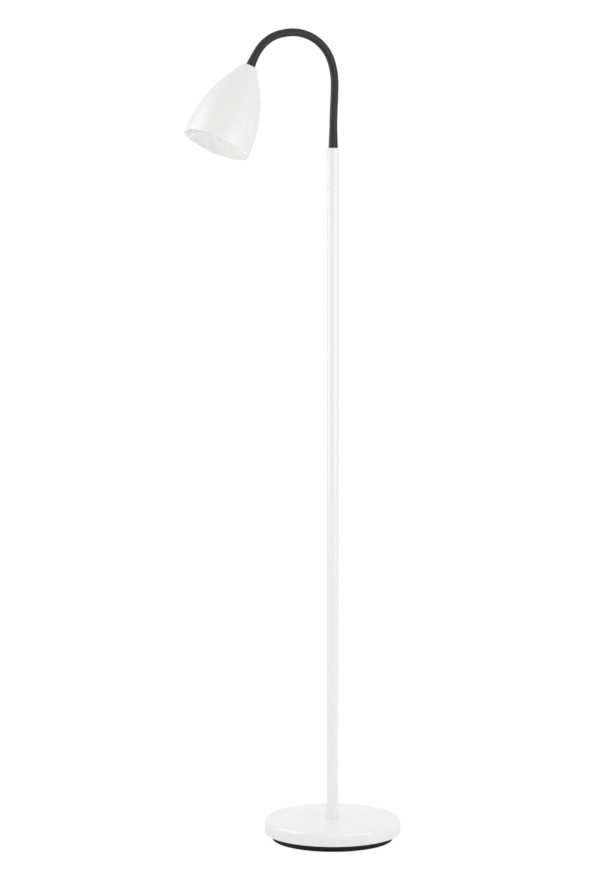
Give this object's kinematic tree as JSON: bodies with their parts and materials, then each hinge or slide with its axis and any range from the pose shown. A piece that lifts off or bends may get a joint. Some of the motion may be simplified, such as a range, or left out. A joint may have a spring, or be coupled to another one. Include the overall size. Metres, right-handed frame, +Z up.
{
  "type": "gooseneck reading floor lamp",
  "caption": "Slim reading floor lamp with a weighted round base, a straight pole, a bendable black neck and a white bullet-shaped metal shade.",
  "frame": {"origin": "centre of the underside of the base, on the floor", "axes": "+Z up along the pole, the neck arches over in the XZ plane towards -X"},
  "size_m": [0.3966, 0.23, 1.3564],
  "materials": {
    "white_paint": "semi-gloss",
    "cast_iron": "as cast",
    "black_plastic": "fine texture",
    "white_plastic": "satin",
    "black_rubber": "matt",
    "sleeve_rubber": "smooth matt",
    "zinc_steel": "zinc plated",
    "hose_steel": "wound wire",
    "brass": "bright",
    "cap_metal": "bright",
    "opal": "opal, translucent",
    "lead_jacket": "matt"
  },
  "bodies": {
    "stand": {"base_cover": "white_paint", "base_weight": "cast_iron", "base_tray": "black_plastic", "floor_pad": "black_rubber", "tray_screws": "zinc_steel", "inlet_grommet": "black_rubber", "tie_nipple": "zinc_steel", "tie_nut": "zinc_steel", "tie_washer": "zinc_steel", "pole_insert": "zinc_steel", "pole_tube": "white_paint", "pole_cap": "white_paint", "foot_collar": "white_paint", "neck_ferrule_lower": "zinc_steel", "hose_end_lower": "hose_steel", "sleeve_end_lower": "sleeve_rubber", "lead_stand": "lead_jacket", "lead_neck": "lead_jacket"},
    "link_01": {"neck_hose_01": "hose_steel", "neck_sleeve_01": "sleeve_rubber"},
    "link_02": {"neck_hose_02": "hose_steel", "neck_sleeve_02": "sleeve_rubber"},
    "link_03": {"neck_hose_03": "hose_steel", "neck_sleeve_03": "sleeve_rubber"},
    "link_04": {"neck_hose_04": "hose_steel", "neck_sleeve_04": "sleeve_rubber"},
    "link_05": {"neck_hose_05": "hose_steel", "neck_sleeve_05": "sleeve_rubber"},
    "link_06": {"neck_hose_06": "hose_steel", "neck_sleeve_06": "sleeve_rubber"},
    "link_07": {"neck_hose_07": "hose_steel", "neck_sleeve_07": "sleeve_rubber"},
    "link_08": {"neck_hose_08": "hose_steel", "neck_sleeve_08": "sleeve_rubber"},
    "link_09": {"neck_hose_09": "hose_steel", "neck_sleeve_09": "sleeve_rubber"},
    "link_10": {"neck_hose_10": "hose_steel", "neck_sleeve_10": "sleeve_rubber"},
    "link_11": {"neck_hose_11": "hose_steel", "neck_sleeve_11": "sleeve_rubber"},
    "link_12": {"neck_hose_12": "hose_steel", "neck_sleeve_12": "sleeve_rubber"},
    "head": {"hose_end_upper": "hose_steel", "sleeve_end_upper": "sleeve_rubber", "neck_ferrule_upper": "zinc_steel", "shade": "white_paint", "shade_washer": "zinc_steel", "shade_nut": "zinc_steel", "holder_cap": "white_plastic", "holder_skirt": "white_plastic", "holder_core": "white_plastic", "terminal_screws": "brass", "contact_sleeve": "brass", "contact_leaf": "brass", "bulb_cap": "cap_metal", "bulb_housing": "white_plastic", "bulb_globe": "opal", "lead_head": "lead_jacket"}
  },
  "joints": [
    {"name": "neck_sway_1", "type": "hinge", "parent": "stand", "child": "link_01", "pos_m": [0, 0, 1.184], "axis": [1, 0, 0], "range_deg": [-18, 18], "deforming": ["lead_neck"]},
    {"name": "neck_lean_1", "type": "hinge", "parent": "link_01", "child": "link_02", "pos_m": [0, 0, 1.2085], "axis": [0, -1, 0], "range_deg": [-18, 10]},
    {"name": "neck_sway_2", "type": "hinge", "parent": "link_02", "child": "link_03", "pos_m": [0.00141, 0, 1.23296], "axis": [0.9983, 0, -0.0576], "range_deg": [-18, 18]},
    {"name": "neck_lean_2", "type": "hinge", "parent": "link_03", "child": "link_04", "pos_m": [0.00282, 0, 1.25742], "axis": [0, -1, 0], "range_deg": [-18, 10]},
    {"name": "neck_curl_1", "type": "hinge", "parent": "link_04", "child": "link_05", "pos_m": [0.00104, 0, 1.28737], "axis": [0, -1, 0], "range_deg": [-18, 4]},
    {"name": "neck_curl_2", "type": "hinge", "parent": "link_05", "child": "link_06", "pos_m": [-0.00937, 0, 1.3155], "axis": [0, -1, 0], "range_deg": [-18, 4]},
    {"name": "neck_curl_3", "type": "hinge", "parent": "link_06", "child": "link_07", "pos_m": [-0.03084, 0, 1.33645], "axis": [0, -1, 0], "range_deg": [-18, 4]},
    {"name": "neck_arch_1", "type": "hinge", "parent": "link_07", "child": "link_08", "pos_m": [-0.05857, 0, 1.34789], "axis": [0, -1, 0], "range_deg": [-18, 4]},
    {"name": "neck_arch_2", "type": "hinge", "parent": "link_08", "child": "link_09", "pos_m": [-0.08851, 0, 1.34977], "axis": [0, -1, 0], "range_deg": [-18, 4]},
    {"name": "neck_turn_1", "type": "hinge", "parent": "link_09", "child": "link_10", "pos_m": [-0.10602, 0, 1.3456], "axis": [-0.2317, 0, 0.9728], "range_deg": [-16, 16]},
    {"name": "neck_nod_1", "type": "hinge", "parent": "link_10", "child": "link_11", "pos_m": [-0.12354, 0, 1.34143], "axis": [0, -1, 0], "range_deg": [-22, 5]},
    {"name": "neck_turn_2", "type": "hinge", "parent": "link_11", "child": "link_12", "pos_m": [-0.13758, 0, 1.33017], "axis": [-0.6252, 0, 0.7804], "range_deg": [-16, 16]},
    {"name": "neck_nod_2", "type": "hinge", "parent": "link_12", "child": "head", "pos_m": [-0.15163, 0, 1.31892], "axis": [0, -1, 0], "range_deg": [-22, 5]}
  ],
  "couplings": [
    {"joint": "neck_sway_2", "follows": "neck_sway_1", "ratio": 1},
    {"joint": "neck_lean_2", "follows": "neck_lean_1", "ratio": 1},
    {"joint": "neck_curl_2", "follows": "neck_curl_1", "ratio": 1},
    {"joint": "neck_curl_3", "follows": "neck_curl_1", "ratio": 1},
    {"joint": "neck_arch_2", "follows": "neck_arch_1", "ratio": 1},
    {"joint": "neck_turn_2", "follows": "neck_turn_1", "ratio": 1},
    {"joint": "neck_nod_2", "follows": "neck_nod_1", "ratio": 1}
  ]
}
